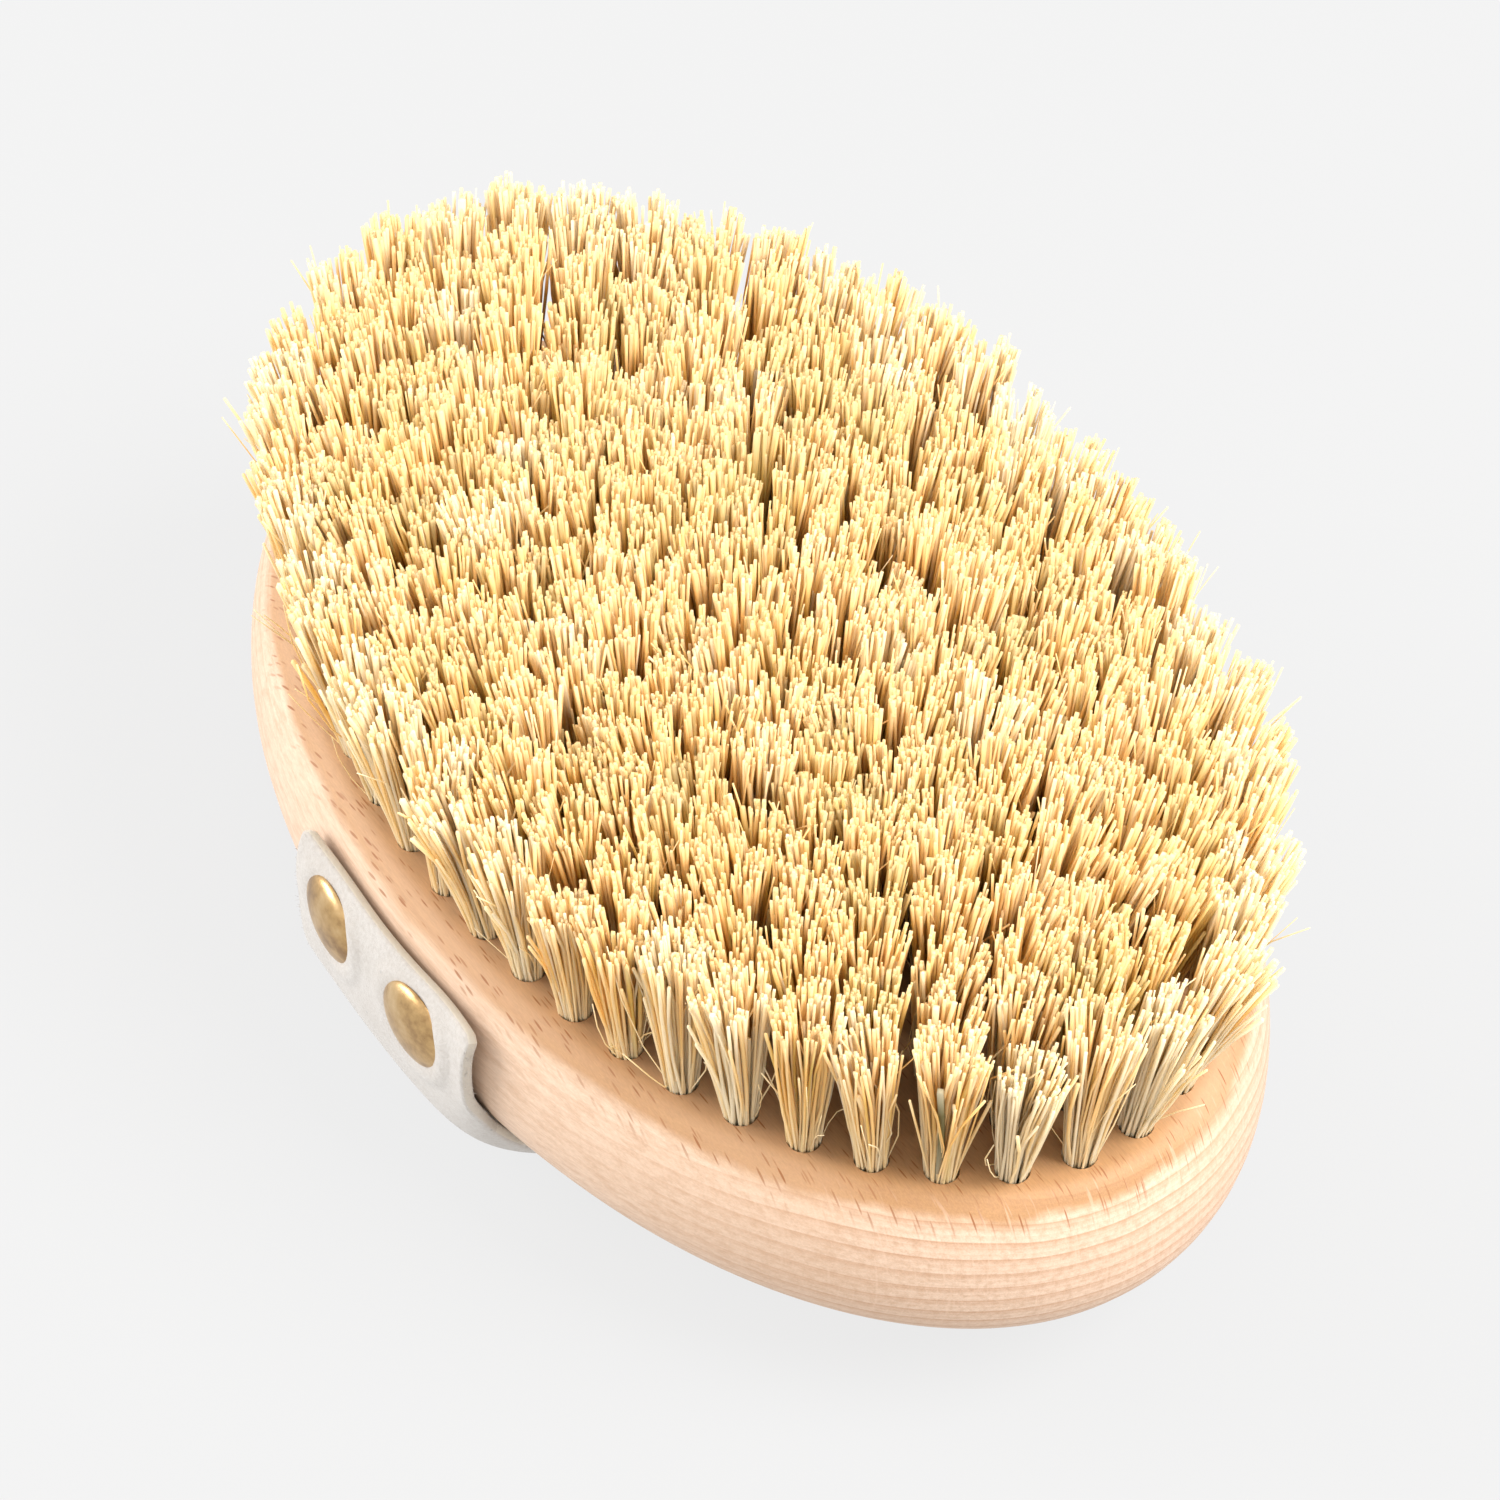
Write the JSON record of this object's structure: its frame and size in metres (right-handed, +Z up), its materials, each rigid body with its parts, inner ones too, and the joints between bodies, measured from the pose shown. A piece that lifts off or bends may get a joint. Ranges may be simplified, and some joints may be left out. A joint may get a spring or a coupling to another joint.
{
  "type": "body dry brush",
  "caption": "Oval beech body brush with a dense field of plant-fibre tufts and a nailed suede hand strap, lying on its strap with the bristles up.",
  "frame": {"origin": "on the resting surface, under the middle of the block", "axes": "+X along the block's long axis, +Z up out of the bristle face; the strap crosses under the back along Y"},
  "size_m": [0.135, 0.0924, 0.0528],
  "materials": {
    "beech": "fine sanded, bare beech",
    "suede": "napped off-white suede",
    "fibre": "natural straw-coloured plant fibre",
    "brass": "brushed, slightly worn"
  },
  "bodies": {
    "root": {"brush_block": "beech", "hand_strap": "suede", "strap_nail_front_a": "brass", "strap_nail_front_b": "brass", "strap_nail_back_a": "brass", "strap_nail_back_b": "brass", "edge_tuft_01": "fibre", "edge_tuft_02": "fibre", "edge_tuft_03": "fibre", "edge_tuft_04": "fibre", "edge_tuft_05": "fibre", "edge_tuft_06": "fibre", "edge_tuft_07": "fibre", "edge_tuft_08": "fibre", "edge_tuft_09": "fibre", "edge_tuft_10": "fibre", "edge_tuft_11": "fibre", "edge_tuft_12": "fibre", "edge_tuft_13": "fibre", "edge_tuft_14": "fibre", "edge_tuft_15": "fibre", "edge_tuft_16": "fibre", "edge_tuft_17": "fibre", "edge_tuft_18": "fibre", "edge_tuft_19": "fibre", "edge_tuft_20": "fibre", "edge_tuft_21": "fibre", "edge_tuft_22": "fibre", "edge_tuft_23": "fibre", "edge_tuft_24": "fibre", "edge_tuft_25": "fibre", "edge_tuft_26": "fibre", "edge_tuft_27": "fibre", "edge_tuft_28": "fibre", "edge_tuft_29": "fibre", "edge_tuft_30": "fibre", "edge_tuft_31": "fibre", "edge_tuft_32": "fibre", "edge_tuft_33": "fibre", "edge_tuft_34": "fibre", "edge_tuft_35": "fibre", "edge_tuft_36": "fibre", "edge_tuft_37": "fibre", "edge_tuft_38": "fibre", "edge_tuft_39": "fibre", "edge_tuft_40": "fibre", "edge_tuft_41": "fibre", "edge_tuft_42": "fibre", "edge_tuft_43": "fibre", "edge_tuft_44": "fibre", "edge_tuft_45": "fibre", "edge_tuft_46": "fibre", "tuft_row_2": "fibre", "tuft_row_3": "fibre", "tuft_row_4": "fibre", "tuft_row_5": "fibre", "tuft_row_6": "fibre", "tuft_row_centre": "fibre"}
  },
  "joints": []
}
